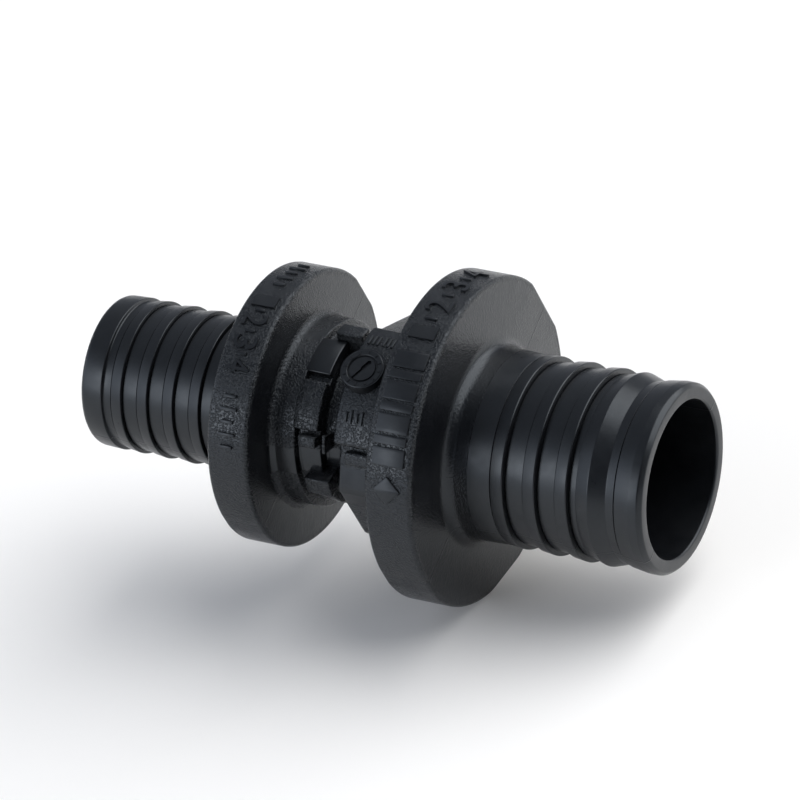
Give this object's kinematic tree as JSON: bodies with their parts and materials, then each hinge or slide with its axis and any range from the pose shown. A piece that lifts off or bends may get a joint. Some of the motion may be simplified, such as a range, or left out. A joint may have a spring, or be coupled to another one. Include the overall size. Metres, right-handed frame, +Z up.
{
  "type": "reducing pipe coupling",
  "caption": "Black moulded plastic reducing coupling with ribbed spigots for pipes of different bore, stop collars and a faceted hub.",
  "frame": {"origin": "on the bore's axis, halfway between the two free ends", "axes": "+X along the bore, out of the larger spigot; +Z up, the mould opening 25 degrees from +Z towards -Y"},
  "size_m": [0.059, 0.031, 0.031],
  "materials": {
    "eroded_plastic": "fine spark-eroded",
    "polished_plastic": "satin polished"
  },
  "bodies": {
    "root": {"small_spigot": "polished_plastic", "small_collar": "eroded_plastic", "hub_ring": "eroded_plastic", "hub_lug_1": "eroded_plastic", "hub_lug_2": "eroded_plastic", "hub_lug_3": "eroded_plastic", "hub_lug_4": "eroded_plastic", "hub_lug_5": "eroded_plastic", "hub_lug_6": "eroded_plastic", "ring_pad_1": "eroded_plastic", "ring_pad_2": "eroded_plastic", "ring_pad_3": "eroded_plastic", "ring_pad_4": "eroded_plastic", "pocket_bar_1": "eroded_plastic", "pocket_bar_2": "eroded_plastic", "label_field_1": "eroded_plastic", "label_field_2": "eroded_plastic", "label_step_1": "eroded_plastic", "label_step_2": "eroded_plastic", "date_stamp": "polished_plastic", "hub_octagon": "eroded_plastic", "large_collar": "eroded_plastic", "large_spigot": "polished_plastic"}
  },
  "joints": []
}
